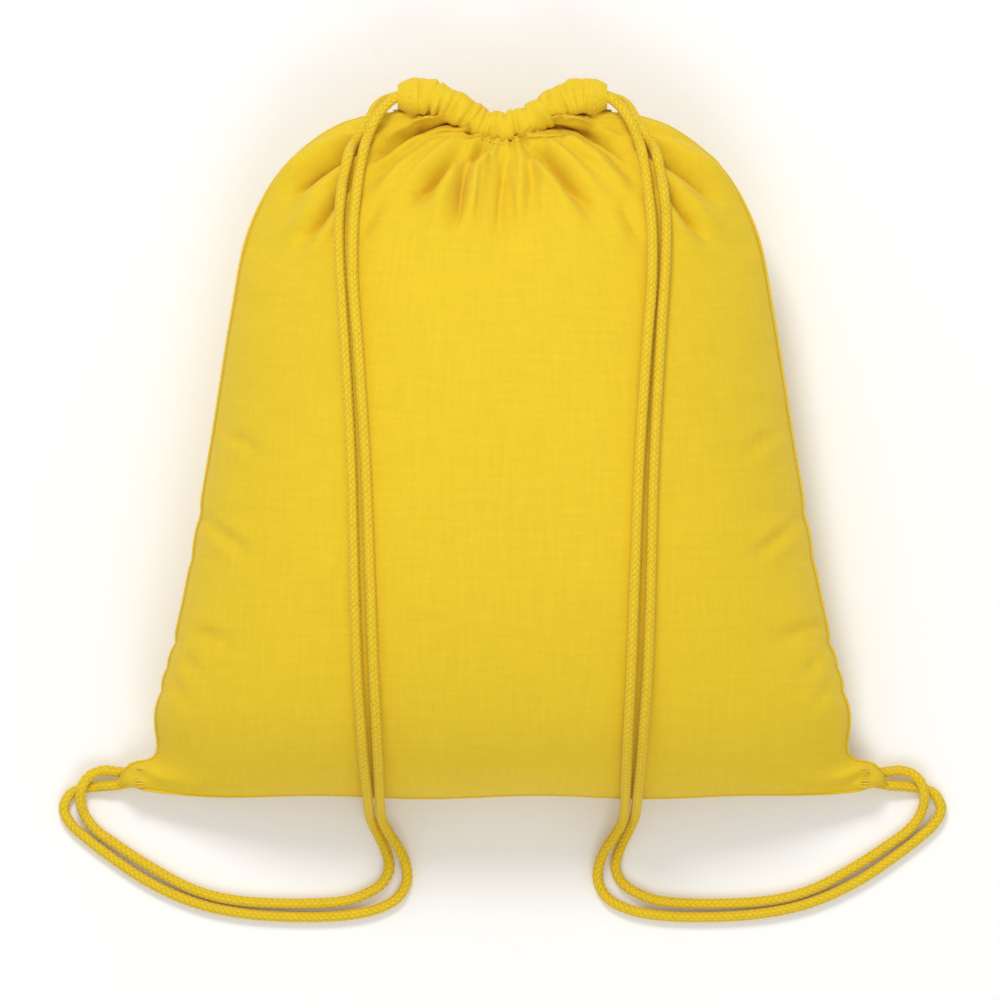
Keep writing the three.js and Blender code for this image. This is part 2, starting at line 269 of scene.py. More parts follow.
# ---- shader maths ------------------------------------------------------------------------
@dataclass(frozen=True)
class Value:
    """A number that varies over a surface: one output socket, with arithmetic."""

    graph: "Graph"
    socket: bpy.types.NodeSocket

    def _maths(self, operation: str, *others: "Value | float") -> "Value":
        """Add a Math node that combines this value with others."""
        return self.graph.node("ShaderNodeMath", {"operation": operation}, [self, *others])

    def __add__(self, other: "Value | float") -> "Value":
        """Add."""
        return self._maths("ADD", other)

    __radd__ = __add__

    def __mul__(self, other: "Value | float") -> "Value":
        """Multiply."""
        return self._maths("MULTIPLY", other)

    __rmul__ = __mul__

    def wave(self) -> "Value":
        """Take the sine."""
        return self._maths("SINE")


class Graph:
    """One material's nodes."""

    def __init__(self, name: str) -> None:
        """Start an empty material.

        Args:
            name: The material's name.
        """
        self.material = bpy.data.materials.new(name)
        self.material.use_nodes = True
        self.tree = self.material.node_tree
        self.tree.nodes.clear()

    def node(self, kind: str, settings: dict, inputs: dict | list, output: int | str = 0) -> Value:
        """Add a node.

        Args:
            kind: The node's type.
            settings: Its settings, set before its inputs.
            inputs: The value or link of each input, by name or by place.
            output: Which output to return.

        Returns:
            The output, as a value.
        """
        added = self.tree.nodes.new(kind)
        for name, setting in settings.items():
            if name == "stops":
                self._set_stops(added, setting)
            else:
                setattr(added, name, setting)
        pairs = inputs.items() if isinstance(inputs, dict) else enumerate(inputs)
        for key, value in pairs:
            if isinstance(value, Value):
                self.tree.links.new(value.socket, added.inputs[key])
            else:
                added.inputs[key].default_value = value
        return Value(self, added.outputs[output])

    @staticmethod
    def _set_stops(ramp: bpy.types.Node, stops: list[tuple[float, tuple[float, ...]]]) -> None:
        """Set a colour ramp's stops from places and colours."""
        elements = ramp.color_ramp.elements
        while len(elements) < len(stops):
            elements.new(0.5)
        for element, (place, colour) in zip(elements, stops):
            element.position = place
            element.color = colour

    def mix(self, share: Value | float, first: tuple | Value, second: tuple | Value) -> Value:
        """Mix two colours.

        Args:
            share: How much of the second colour there is.
            first: The colour at 0.
            second: The colour at 1.

        Returns:
            The mixed colour.
        """
        inputs = {0: share, 6: first, 7: second}
        return self.node("ShaderNodeMix", {"data_type": "RGBA"}, inputs, 2)

    def noise(self, place: Value, scale: float, detail: float) -> Value:
        """Noise from 0 to 1 at a place."""
        inputs = {"Vector": place, "Scale": scale, "Detail": detail, "Roughness": 0.55}
        return self.node("ShaderNodeTexNoise", {}, inputs, 0)

    def stretched(self, place: Value, scale: tuple[float, float, float]) -> Value:
        """A place with its axes stretched."""
        return self.node("ShaderNodeMapping", {}, {"Vector": place, "Scale": scale}, 0)

    def finish(self, **sockets: Value | float | tuple) -> bpy.types.Material:
        """Add the surface shader and the output.

        Args:
            sockets: The surface's inputs, with _ for each space in a name.

        Returns:
            The finished material.
        """
        inputs = {name.replace("_", " "): value for name, value in sockets.items()}
        surface = self.node("ShaderNodeBsdfPrincipled", {}, inputs)
        output = self.tree.nodes.new("ShaderNodeOutputMaterial")
        self.tree.links.new(surface.socket, output.inputs["Surface"])
        return self.material


Colour = tuple[float, float, float, float]


def tint(colour: Colour, factor: float) -> Colour:
    """A colour made lighter or darker by a factor."""
    return (colour[0] * factor, colour[1] * factor, colour[2] * factor, 1.0)


@dataclass(frozen=True)
class WovenCotton:
    """Plain-weave cotton: crossing threads, slubs and a soft nap."""

    colour: Colour = (0.80, 0.557, 0.019, 1.0)
    thread_pitch: float = 0.00082
    thread_wobble: float = 1.6
    roughness: float = 0.86
    sheen: float = 0.12

    def build(self, name: str) -> bpy.types.Material:
        """Make the material.

        Args:
            name: The material's name.

        Returns:
            The material, which reads the piece's UV map in metres.
        """
        g = Graph(name)
        uv = g.node("ShaderNodeUVMap", {"uv_map": "UVMap"}, {})
        place = g.node("ShaderNodeTexCoord", {}, {}, "Object")
        across = g.node("ShaderNodeSeparateXYZ", {}, [uv], "X")
        along = g.node("ShaderNodeSeparateXYZ", {}, [uv], "Y")
        turns = math.pi / self.thread_pitch
        warp_wobble = g.noise(g.stretched(uv, (900.0, 60.0, 1.0)), 1.0, 2.0)
        weft_wobble = g.noise(g.stretched(uv, (60.0, 900.0, 1.0)), 1.0, 2.0)
        warp = (across * turns + warp_wobble * self.thread_wobble).wave()
        weft = (along * turns + weft_wobble * self.thread_wobble).wave()
        weave = warp * weft
        slubs = g.noise(g.stretched(uv, (40.0, 420.0, 1.0)), 1.0, 3.0)
        slubs = slubs + g.noise(g.stretched(uv, (420.0, 40.0, 1.0)), 1.0, 3.0)
        cloudy = g.noise(place, 9.0, 3.0)
        fleck = g.noise(place, 900.0, 1.0)
        tone = weave * 0.08 + slubs * 0.30 + cloudy * 0.16 + fleck * 0.16
        ramp = g.node(
            "ShaderNodeValToRGB",
            {"stops": [(0.25, tint(self.colour, 0.90)), (0.62, tint(self.colour, 1.05))]},
            {"Fac": tone},
            "Color",
        )
        height = weave * 0.5 + slubs * 0.55 + fleck * 0.35
        bump = g.node(
            "ShaderNodeBump", {}, {"Strength": 0.34, "Distance": 0.00022, "Height": height}
        )
        return g.finish(
            Base_Color=ramp,
            Roughness=fleck * 0.10 + (self.roughness - 0.05),
            Normal=bump,
            Sheen_Weight=self.sheen,
            Sheen_Roughness=0.5,
            Sheen_Tint=(1.0, 0.93, 0.62, 1.0),
            Specular_IOR_Level=0.25,
        )


@dataclass(frozen=True)
class BraidedCotton:
    """Round braided cord, with painted shade in the gaps between the strands and painted light on their
    backs.
    """

    colour: Colour = (0.79, 0.54, 0.020, 1.0)
    fibre_scale: float = 2600.0
    roughness: float = 0.88

    def build(self, name: str) -> bpy.types.Material:
        """Make the material.

        Args:
            name: The material's name.

        Returns:
            The material, which reads the piece's braid attribute.
        """
        g = Graph(name)
        braid = g.node("ShaderNodeAttribute", {"attribute_name": "braid"}, {}, "Fac")
        place = g.node("ShaderNodeTexCoord", {}, {}, "Object")
        fibres = g.noise(place, self.fibre_scale, 1.0)
        patches = g.noise(place, 260.0, 2.0)
        # Painted shade and light: the braid height darkens the gaps between the strands and lightens their
        # backs.
        tone = braid * 0.62 + fibres * 0.22 + patches * 0.22
        ramp = g.node(
            "ShaderNodeValToRGB",
            {
                "stops": [
                    (0.10, tint(self.colour, 0.42)),
                    (0.42, tint(self.colour, 0.86)),
                    (0.78, tint(self.colour, 1.10)),
                ]
            },
            {"Fac": tone},
            "Color",
        )
        bump = g.node(
            "ShaderNodeBump", {}, {"Strength": 0.5, "Distance": 0.0002, "Height": fibres}
        )
        return g.finish(
            Base_Color=ramp,
            Roughness=fibres * 0.12 + (self.roughness - 0.06),
            Normal=bump,
            Sheen_Weight=0.15,
            Sheen_Roughness=0.5,
            Sheen_Tint=(1.0, 0.92, 0.6, 1.0),
            Specular_IOR_Level=0.25,
        )


@dataclass(frozen=True)
class SewingThread:
    """Twisted sewing thread, a little shinier than the cloth."""

    colour: Colour = (0.86, 0.60, 0.06, 1.0)

    def build(self, name: str) -> bpy.types.Material:
        """Make the material.

        Args:
            name: The material's name.

        Returns:
            The material.
        """
        g = Graph(name)
        place = g.node("ShaderNodeTexCoord", {}, {}, "Object")
        ply = g.noise(place, 3200.0, 1.0)
        colour = g.mix(ply, tint(self.colour, 0.8), tint(self.colour, 1.1))
        bump = g.node("ShaderNodeBump", {}, {"Strength": 0.4, "Distance": 0.0001, "Height": ply})
        return g.finish(
            Base_Color=colour, Roughness=ply * 0.1 + 0.58, Normal=bump, Specular_IOR_Level=0.35
        )


@dataclass
class Finishes:
    """The bag's three finishes, made once and shared."""

    cloth: bpy.types.Material = field(default_factory=lambda: WovenCotton().build("cotton_cloth"))
    cord: bpy.types.Material = field(default_factory=lambda: BraidedCotton().build("braided_cord"))
    thread: bpy.types.Material = field(default_factory=lambda: SewingThread().build("sewing_thread"))

    def dress(self, piece: bpy.types.Object, slot: str) -> None:
        """Give a piece one of the finishes.

        Args:
            piece: The piece to dress.
            slot: The material slot's name, which is the finish's name too.
        """
        finish = {"cotton_cloth": self.cloth, "braided_cord": self.cord}.get(slot, self.thread)
        piece.data.materials.clear()
        piece.data.materials.append(finish)
        triangles = sum(len(p.vertices) - 2 for p in piece.data.polygons)
        LOG.info("%s: %d triangles", piece.name, triangles)


# ---- the cloth bag -----------------------------------------------------------------------
@dataclass(frozen=True)
class Fold:
    """One valley in the cloth: the way that it runs in millimetres, and how deep and wide it is."""

    run: tuple
    depth: float
    width: float
    start: float = 0.0
    end: float = 0.45

    def mirrored(self, shift: float) -> "Fold":
        """The same fold on the other side of the bag, a little moved."""
        run = tuple((-x + shift, y + shift) for x, y in self.run)
        return Fold(run, self.depth, self.width, self.start, self.end)


SHOULDER_FOLDS = (
    Fold(((-20, 153), (-30, 153.5), (-38.2, 150.9), (-48.1, 146.5), (-58, 139.1), (-66, 127.5)), 7.8, 3.8),
    Fold(((-25.8, 158), (-38.2, 157.2), (-46.8, 154), (-56.7, 148), (-63, 141.5)), 4.4, 2.5),
    Fold(((-15, 149), (-29.5, 148.4), (-40.6, 142.8), (-53, 134.2), (-62.9, 125.5), (-69, 116)), 5.0, 2.7),
    Fold(((-12, 146), (-24.6, 136), (-33.2, 126.7), (-40.6, 116.8), (-45, 107)), 6.0, 4.0, 0.25),
    Fold(((-62, 144), (-77.8, 136), (-90.1, 128), (-102.5, 118.1), (-109, 107)), 7.0, 4.6, 0.25, 0.5),
    Fold(((-70, 128), (-79, 118.1), (-88.9, 104.5), (-98, 96), (-106.2, 88.4)), 5.4, 3.8, 0.3, 0.5),
    Fold(((-56.9, 118), (-61.7, 109.6), (-67.3, 101.5), (-71, 92)), 1.8, 5.0, 0.4, 0.5),
)
LEFT_FOLDS = (
    Fold(((-5, 146), (-12, 139.5), (-18.6, 134), (-21.2, 124), (-22.1, 109.4), (-19.5, 95)), 6.0, 3.8, 0.2),
    Fold(((2.7, 146), (2, 136), (-0.8, 123), (-1.7, 109.4), (1, 90)), 3.4, 7.0, 0.4, 0.5),
)
RIGHT_FOLDS = (
    Fold(((10, 147), (14.4, 135.4), (13.8, 119.3), (11.9, 104.5), (13.5, 90)), 3.0, 3.6, 0.2, 0.5),
    Fold(((16, 147), (22, 138), (29, 128), (38, 118.6), (44.5, 110), (47, 101)), 4.4, 3.6, 0.25),
)
EDGE_FOLDS = (
    Fold(((-147, -36), (-139, -44.5), (-131, -50), (-119, -60)), 2.2, 3.0, 0.1, 0.6),
    Fold(((-157, -92), (-143, -95.2), (-128, -101)), 1.6, 3.4, 0.1, 0.6),
    Fold(((-158, -102.6), (-150, -111), (-141, -119)), 1.6, 2.4, 0.1, 0.6),
    Fold(((-161, -115.2), (-156, -124.7), (-147, -134)), 1.4, 2.4, 0.1, 0.6),
    Fold(((-137, 4), (-126, -2), (-113, -12)), 1.3, 3.4, 0.1, 0.6),
    Fold(((-183, -160.6), (-176, -165), (-168, -169), (-156, -171.2)), 3.4, 2.0, 0.1, 0.5),
)
# Where the side seams are drawn in, and how far.
SEAM_NOTCHES = (
    (-0.0369, 0.0012),
    (-0.0584, 0.0008),
    (-0.0994, 0.0017),
    (-0.1110, 0.0010),
    (-0.1230, 0.0014),
)


@dataclass
class ClothBag:
    """The filled bag: two panels joined along the sides and the bottom, gathered at the neck."""

    bottom_y: float = -0.1739
    bottom_z: float = 0.031
    crown_y: float = -0.022
    crown_z: float = 0.1208
    belly_z: float = -0.0148
    ear_y: float = 0.166
    dip: float = 0.015
    dip_half: float = 0.040
    neck_drop: float = 0.0076
    neck_lap: float = 0.0022
    neck_rise: float = 0.0042
    columns: int = 109
    rows: int = 109
    fold_strength: float = 2.3
    side_seam: tuple = (
        (0.1875, -0.1685, 0.0065), (0.1860, -0.1635, 0.0085), (0.1822, -0.1590, 0.0105),
        (0.1770, -0.1572, 0.0125), (0.1712, -0.1562, 0.0160), (0.1678, -0.1515, 0.0215),
        (0.1688, -0.134, 0.031), (0.156, -0.083, 0.044), (0.142, -0.006, 0.049),
        (0.1315, 0.060, 0.051), (0.123, 0.101, 0.0525), (0.107, 0.130, 0.0535),
        (0.083, 0.1496, 0.054), (0.066, 0.1556, 0.0543), (0.054, 0.1577, 0.0545),
    )
    seam_mid_z: float = 0.0545
    notch_half: float = 0.0035
    corner_place: tuple[float, float] = (0.179, -0.1648)
    corner_reach: tuple[float, float] = (0.0075, 0.0058)
    floor_gap: float = 0.0004
    cut_width: float = 0.37
    cut_height: float = 0.41
    thickness: float = 0.0008
    sim_frames: int = 24
    most_move: float = 0.009
    trees: dict[Face, BVHTree] = field(default_factory=dict)
    grids: dict[Face, np.ndarray] = field(default_factory=dict)
    pieces: dict[Face, bpy.types.Object] = field(default_factory=dict)
    side: np.ndarray = field(init=False)
    side_share: np.ndarray = field(init=False)
    lower_numbers: np.ndarray = field(init=False)

    def __post_init__(self) -> None:
        """Draw the side seam once, at even steps."""
        self.side = smooth_line(np.array(self.side_seam), 0.001)
        self.side_share = lengths_along(self.side)
        self.side_share /= self.side_share[-1]

    def neck_line(self, x: np.ndarray) -> np.ndarray:
        """The height in y at which the panels meet the casings."""
        near = np.minimum(np.abs(x) / self.dip_half, 1.0)
        drop = self.neck_drop - self.neck_lap * self.lap(x)
        return self.ear_y - drop - self.dip * 0.5 * (1 + np.cos(math.pi * near))

    @staticmethod
    def lap(x: np.ndarray) -> np.ndarray:
        """How far the puffed cloth laps over the casing: 1 in the middle and 0 at the ears."""
        return 1 - smoothstep(np.abs(x), 0.022, 0.040)

    def middle_height(self, y: np.ndarray, far: float, neck_z: float) -> np.ndarray:
        """The height of a panel along its middle.

        Args:
            y: Where along the bag.
            far: The height at the fullest place.
            neck_z: The height at the neck.

        Returns:
            The height at each y.
        """
        low = y < self.crown_y
        end_y = np.where(low, self.bottom_y, self.ear_y - 0.0206)
        end_z = np.where(low, self.bottom_z, neck_z)
        power = np.where(low, 2.6, 2.2)
        roundness = np.where(low, 0.58, 0.85)
        along = np.clip((y - self.crown_y) / (end_y - self.crown_y), 0.0, 1.0)
        return end_z + (far - end_z) * (1 - along**power) ** roundness

    def smooth_panel(self, u: np.ndarray, v: np.ndarray, face: Face) -> np.ndarray:
        """The panel's filled shape before any fold.

        Args:
            u: Across, from -1 at the left seam to 1 at the right one.
            v: Along the side seam, from 0 at the bottom to 1 at the neck.
            face: Which panel.

        Returns:
            Points, one for each u and v.
        """
        far = self.crown_z if face is Face.STRAP_SIDE else self.belly_z
        side = [np.interp(v, self.side_share, self.side[:, axis]) for axis in range(3)]
        for place, depth in SEAM_NOTCHES:
            side[0] = side[0] - depth * np.exp(-(((side[1] - place) / self.notch_half) ** 2))
        x = u * side[0]
        neck_z = self.seam_mid_z + face.value * (0.0115 + self.neck_rise * self.lap(x))
        bottom = 1 - smoothstep(v, 0.0, 0.12)
        neck = smoothstep(v, 0.72, 1.0) ** 2
        y = side[1] + (self.bottom_y - side[1]) * bottom * (1 - np.abs(u) ** 8)
        y -= (0.15765 - self.neck_line(x)) * smoothstep(v, 0.6, 1.0) ** 1.5
        size = np.abs(u)
        round_share = (1 - size**2.3) ** 0.62
        share = round_share + (1 - size**3 - round_share) * bottom
        share = share + ((1 - size**9) ** 0.5 - share) * neck
        z = side[2] + (self.middle_height(y, far, neck_z) - side[2]) * share
        from_corner_x = (np.abs(x) - self.corner_place[0]) / self.corner_reach[0]
        from_corner_y = (y - self.corner_place[1]) / self.corner_reach[1]
        tucked = np.exp(-(from_corner_x**2 + from_corner_y**2))
        if face is Face.STRAP_SIDE:
            z = z + 0.0062 * tucked
        else:
            z = np.maximum(z - 0.004 * tucked, self.floor_gap)
        y = y + 0.0008 * np.sin(u * 11 + 0.6) * bottom * (1 - size**4)
        return np.stack([x, y, z], axis=-1)

    def folds(self, face: Face) -> list[Fold]:
        """Choose a panel's folds: the long ones, and short ones all along the neck."""
        draw = np.random.default_rng(11 if face is Face.STRAP_SIDE else 23)
        chosen = []
        for fold in SHOULDER_FOLDS + EDGE_FOLDS:
            chosen += [fold, fold.mirrored(float(draw.uniform(-1.5, 1.5)))]
        middle = LEFT_FOLDS + RIGHT_FOLDS
        chosen += middle if face is Face.STRAP_SIDE else [f.mirrored(2.0) for f in middle]
        for x in np.linspace(-47, 47, 25) + draw.uniform(-1.2, 1.2, 25):
            top = float(self.neck_line(np.array(x / 1e3))) * 1e3 + 1
            reach = draw.uniform(7, 20)
            lean = x / 26 + draw.uniform(-0.25, 0.25)
            down = reach / math.hypot(1, lean)
            middle_point = (x + lean * down * 0.5, top - down * 0.45)
            run = ((x, top), middle_point, (x + lean * down, top - down))
            chosen.append(Fold(run, draw.uniform(1.4, 3.0), draw.uniform(1.0, 1.7), 0.0, 0.8))
        return chosen

    def fold_depth(self, shape: np.ndarray, face: Face) -> np.ndarray:
        """How far the folds sink the panel.

        Args:
            shape: The panel's points before any fold.
            face: Which panel.

        Returns:
            A depth for each point, below zero on the ridges beside a fold.
        """
        valleys = np.zeros(shape.shape[:2])
        ridges = np.zeros(shape.shape[:2])
        for fold in self.folds(face):
            run = np.array([(x / 1e3, y / 1e3, 0.0) for x, y in fold.run])
            run = smooth_line(run, 0.0015)
            along = np.linspace(0, 1, len(run))
            gaps = np.linalg.norm(shape[:, :, None, :2] - run[None, None, :, :2], axis=3)
            nearest = gaps.argmin(axis=2)
            gap = gaps.min(axis=2)
            share = along[nearest]
            strength = 1 - smoothstep(share, 1 - fold.end, 1.0)
            if fold.start > 0:
                strength = strength * (0.15 + 0.85 * smoothstep(share, 0.0, fold.start))
            width = fold.width / 1e3 * (0.55 + 0.6 * share)
            size = fold.depth / 1e3 * strength
            valley = np.exp(-(np.sqrt(gap**2 + 0.0005**2) - 0.0005) / (0.72 * width))
            ridge = 0.5 * np.exp(-(((gap - 1.9 * width) / (1.1 * width)) ** 2))
            valleys = np.maximum(valleys, size * valley)
            ridges = np.maximum(ridges, size * ridge)
        return self.fold_strength * (valleys - ridges) * (1 - self.under_ears(shape))

    @staticmethod
    def under_ears(shape: np.ndarray) -> np.ndarray:
        """Where the cloth is drawn tight below the ears: 1 there and 0 elsewhere."""
        beside = smoothstep(np.abs(shape[..., 0]), 0.038, 0.047)
        return beside * smoothstep(shape[..., 1], 0.146, 0.153)

    def undulation(self, u: np.ndarray, v: np.ndarray, face: Face) -> np.ndarray:
        """The gentle hollows where the contents don't fill the cloth."""
        draw = np.random.default_rng(5 if face is Face.STRAP_SIDE else 8)
        total = np.zeros_like(u)
        for _ in range(7):
            turns = draw.uniform(0.5, 1.7, 2)
            shift = draw.uniform(0, 2 * math.pi, 2)
            wave = np.sin(math.pi * turns[0] * u + shift[0])
            total += wave * np.sin(math.pi * turns[1] * 1.6 * v + shift[1]) * 0.00055
        return total * smoothstep(1 - np.abs(u), 0.12, 0.4) * smoothstep(v, 0.05, 0.25)

    def seam_puckers(self, u: np.ndarray, v: np.ndarray) -> np.ndarray:
        """Short ripples beside the side seams, where the stitching draws the cloth in."""
        away = 1 - np.abs(u)
        hand = np.sign(u)
        phase = v * 46 + 2.1 * np.sin(v * 21 + hand) + hand * 0.7
        strength = 0.35 + 0.65 * np.sin(v * 13 + 0.8 * hand) ** 2
        near = smoothstep(away, 0.0, 0.03) * (1 - smoothstep(away, 0.05, 0.26))
        return 0.0005 * np.sin(phase) * strength * near * smoothstep(v, 0.02, 0.12)

    def places(self) -> tuple[np.ndarray, np.ndarray]:
        """The u and v of each grid point, closer together towards the neck."""
        rise = np.linspace(0, 1, self.rows)
        return np.meshgrid(np.linspace(-1, 1, self.columns), 1 - (1 - rise) ** 1.22)

    def start_shape(self, face: Face) -> np.ndarray:
        """A panel's grid of points with its folds begun.

        Args:
            face: Which panel.

        Returns:
            An array of rows, columns and x, y, z.
        """
        u, v = self.places()
        base = self.smooth_panel(u, v, face)
        normals = self.grid_normals(base) * face.value
        sink = self.fold_depth(base, face) - self.undulation(u, v, face)
        sink -= self.seam_puckers(u, v)
        moved = base - normals * sink[..., None]
        inner = (smoothstep(1 - np.abs(u), 0.0, 0.03) * smoothstep(v, 0.0, 0.03))[..., None]
        shape = base + (moved - base) * inner
        if face is Face.OUTER:
            shape[..., 2] = np.maximum(shape[..., 2], self.floor_gap)
        return shape

    @staticmethod
    def grid_normals(grid: np.ndarray) -> np.ndarray:
        """Unit normals of a grid of points, towards +z where it lies flat."""
        along = np.gradient(grid, axis=0)
        across = np.gradient(grid, axis=1)
        normal = np.cross(across, along)
        return normal / np.maximum(np.linalg.norm(normal, axis=-1, keepdims=True), 1e-12)

    def flat_cut(self, grid: np.ndarray) -> np.ndarray:
        """Lay a panel out flat, as it was cut, with spare width where it is gathered.

        Args:
            grid: The panel's filled shape.

        Returns:
            The place of each point on the flat cloth, in metres.
        """
        steps = np.linalg.norm(np.diff(grid, axis=1), axis=2)
        row_width = steps.sum(axis=1)
        share = np.concatenate([np.zeros((self.rows, 1)), np.cumsum(steps, axis=1)], axis=1)
        share /= row_width[:, None]
        v = self.places()[1][:, 0]
        spare = 1.012 + 0.55 * smoothstep(v, 0.45, 1.0) ** 1.3
        x = (share - 0.5) * (row_width * spare)[:, None]
        middle = lengths_along(grid[:, self.columns // 2])
        return np.stack([x, np.repeat(middle[:, None], self.columns, axis=1)], axis=-1)

    def sewn_rim(self) -> np.ndarray:
        """Which grid points both panels share: those of the side and bottom seams."""
        rim = np.zeros((self.rows, self.columns), bool)
        rim[0, :] = True
        rim[:, 0] = True
        rim[:, -1] = True
        return rim

    def pillowcase(self) -> bpy.types.Object:
        """Join both panels' starting shapes into one bag with a flat cut to spring back to.

        Returns:
            The bag, ready for its cloth to be simulated.
        """
        upper = self.start_shape(Face.STRAP_SIDE)
        lower = self.start_shape(Face.OUTER)
        rim = self.sewn_rim()
        count = self.rows * self.columns
        numbers = np.arange(count).reshape(self.rows, self.columns)
        lower_numbers = numbers.copy()
        lower_numbers[~rim] = count + np.arange((~rim).sum())
        points = np.vstack([upper.reshape(-1, 3), lower[~rim]])
        faces = grid_faces(self.rows, self.columns)
        flipped = [tuple(int(lower_numbers.flat[i]) for i in face[::-1]) for face in faces]
        bag = new_piece("bag_cloth", points, [*faces, *flipped])
        base = self.smooth_panel(*self.places(), Face.STRAP_SIDE)
        cut = self.flat_cut(base)
        flat = np.zeros((len(points), 3))
        flat[:count, :2] = cut.reshape(-1, 2)
        flat[count:, :2] = cut[~rim]
        self.lower_numbers = lower_numbers
        bag.shape_key_add(name="filled")
        key = bag.shape_key_add(name="cut flat")
        key.data.foreach_set("co", flat.ravel())
        held = rim.copy()
        held[-1, :] = True
        pinned = np.zeros(len(points))
        pinned[:count][held.ravel()] = 1.0
        pinned[lower_numbers[-1]] = 1.0
        on_floor = (lower[..., 2] < 0.0012) & ~rim
        pinned[lower_numbers[on_floor]] = 1.0
        pinned[:count][self.under_ears(upper).ravel() > 0.5] = 1.0
        pinned[lower_numbers[self.under_ears(lower) > 0.5]] = 1.0
        group = bag.vertex_groups.new(name="held")
        group.add([int(i) for i in np.flatnonzero(pinned)], 1.0, "REPLACE")
        return bag

    def settle(self, bag: bpy.types.Object) -> np.ndarray:
        """Let the cloth find its own folds under the pressure of what it holds.

        Args:
            bag: The joined bag.

        Returns:
            The settled points, none further than a small way from where it began.
        """
        begun = np.array([v.co for v in bag.data.vertices])
        cloth = bag.modifiers.new("cloth", "CLOTH")
        settings = cloth.settings
        settings.quality = 6
        settings.mass = 0.0004
        settings.air_damping = 0.3
        settings.tension_stiffness = 12.0
        settings.compression_stiffness = 6.0
        settings.shear_stiffness = 2.0
        settings.bending_stiffness = 0.04
        settings.tension_damping = settings.compression_damping = 2.0
        settings.shear_damping = 2.0
        settings.vertex_group_mass = "held"
        settings.pin_stiffness = 1.0
        settings.rest_shape_key = bag.data.shape_keys.key_blocks["cut flat"]
        settings.use_pressure = True
        settings.uniform_pressure_force = 20.0
        settings.effector_weights.gravity = 0.0
        cloth.collision_settings.use_collision = False
        cloth.point_cache.frame_start = 1
        cloth.point_cache.frame_end = self.sim_frames
        scene = bpy.context.scene
        for number in range(1, self.sim_frames + 1):
            scene.frame_set(number)
        graph = bpy.context.evaluated_depsgraph_get()
        after = bag.evaluated_get(graph).to_mesh()
        settled = np.array([v.co for v in after.vertices])
        scene.frame_set(1)
        moved = settled - begun
        far = np.linalg.norm(moved, axis=1, keepdims=True)
        mean_mm, most_mm = far.mean() * 1e3, far.max() * 1e3
        LOG.info("cloth moved %.1f mm on average, %.1f mm at most", mean_mm, most_mm)
        settled = begun + moved * np.minimum(1.0, self.most_move / np.maximum(far, 1e-9))
        settled[:, 2] = np.maximum(settled[:, 2], self.floor_gap)
        return settled

    def build(self, finishes: Finishes) -> None:
        """Simulate the cloth, then make, thicken and dress both panels.

        Args:
            finishes: The bag's finishes.
        """
        bag = self.pillowcase()
        points = np.array([v.co for v in bag.data.vertices])
        points = self.settle(bag)
        bpy.data.objects.remove(bag, do_unlink=True)
        count = self.rows * self.columns
        self.grids[Face.STRAP_SIDE] = points[:count].reshape(self.rows, self.columns, 3)
        self.grids[Face.OUTER] = points[self.lower_numbers.ravel()].reshape(
            self.rows, self.columns, 3
        )
        for face, name in ((Face.STRAP_SIDE, "strap_side_panel"), (Face.OUTER, "outer_panel")):
            self.build_panel(face, name, finishes)

    def build_panel(self, face: Face, name: str, finishes: Finishes) -> None:
        """Make one panel from its grid of points.

        Args:
            face: Which panel.
            name: The CAD node that it stands for.
            finishes: The bag's finishes.
        """
        grid = self.grids[face]
        faces = grid_faces(self.rows, self.columns)
        if face is Face.OUTER:
            faces = [f[::-1] for f in faces]
        panel = new_piece(f"{name}_cloth", grid.reshape(-1, 3), faces)
        cut = self.flat_cut(grid).reshape(-1, 2)
        store_uv(panel, cut)
        smooth = panel.modifiers.new("subdivision", "SUBSURF")
        smooth.levels = smooth.render_levels = 1
        smooth.boundary_smooth = "PRESERVE_CORNERS"
        wall = panel.modifiers.new("cloth thickness", "SOLIDIFY")
        wall.thickness = self.thickness
        wall.offset = -1.0
        apply_modifiers(panel)
        self.trees[face] = BVHTree.FromPolygons([Vector(p) for p in grid.reshape(-1, 3)], faces)
        self.pieces[face] = panel
        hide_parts(name)
        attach(panel, BAG)
        finishes.dress(panel, "cotton_cloth")

    def outside(self, face: Face, x: float, y: float) -> tuple[Vector, Vector] | None:
        """Find the cloth's outside over or under a place.

        Args:
            face: Which panel.
            x: Where across.
            y: Where along.

        Returns:
            The point and its outward normal, or None where there is no cloth.
        """
        start = Vector((x, y, 0.3 * face.value))
        hit, normal, _, _ = self.trees[face].ray_cast(start, Vector((0, 0, -face.value)))
        if hit is None:
            return None
        return hit, normal if normal.z * face.value > 0 else -normal

    def height(self, x: float, y: float) -> float:
        """The strap-side panel's height at a place, or 0 off its edge."""
        found = self.outside(Face.STRAP_SIDE, x, y)
        return found[0].z if found else 0.0


# ---- the drawcords -----------------------------------------------------------------------
@dataclass(frozen=True)
class Route:
    """One free stretch of a drawcord: from its tunnel to its corner, for the right-hand cord."""

    name: str
    exit: tuple[float, float, float]
    points: tuple


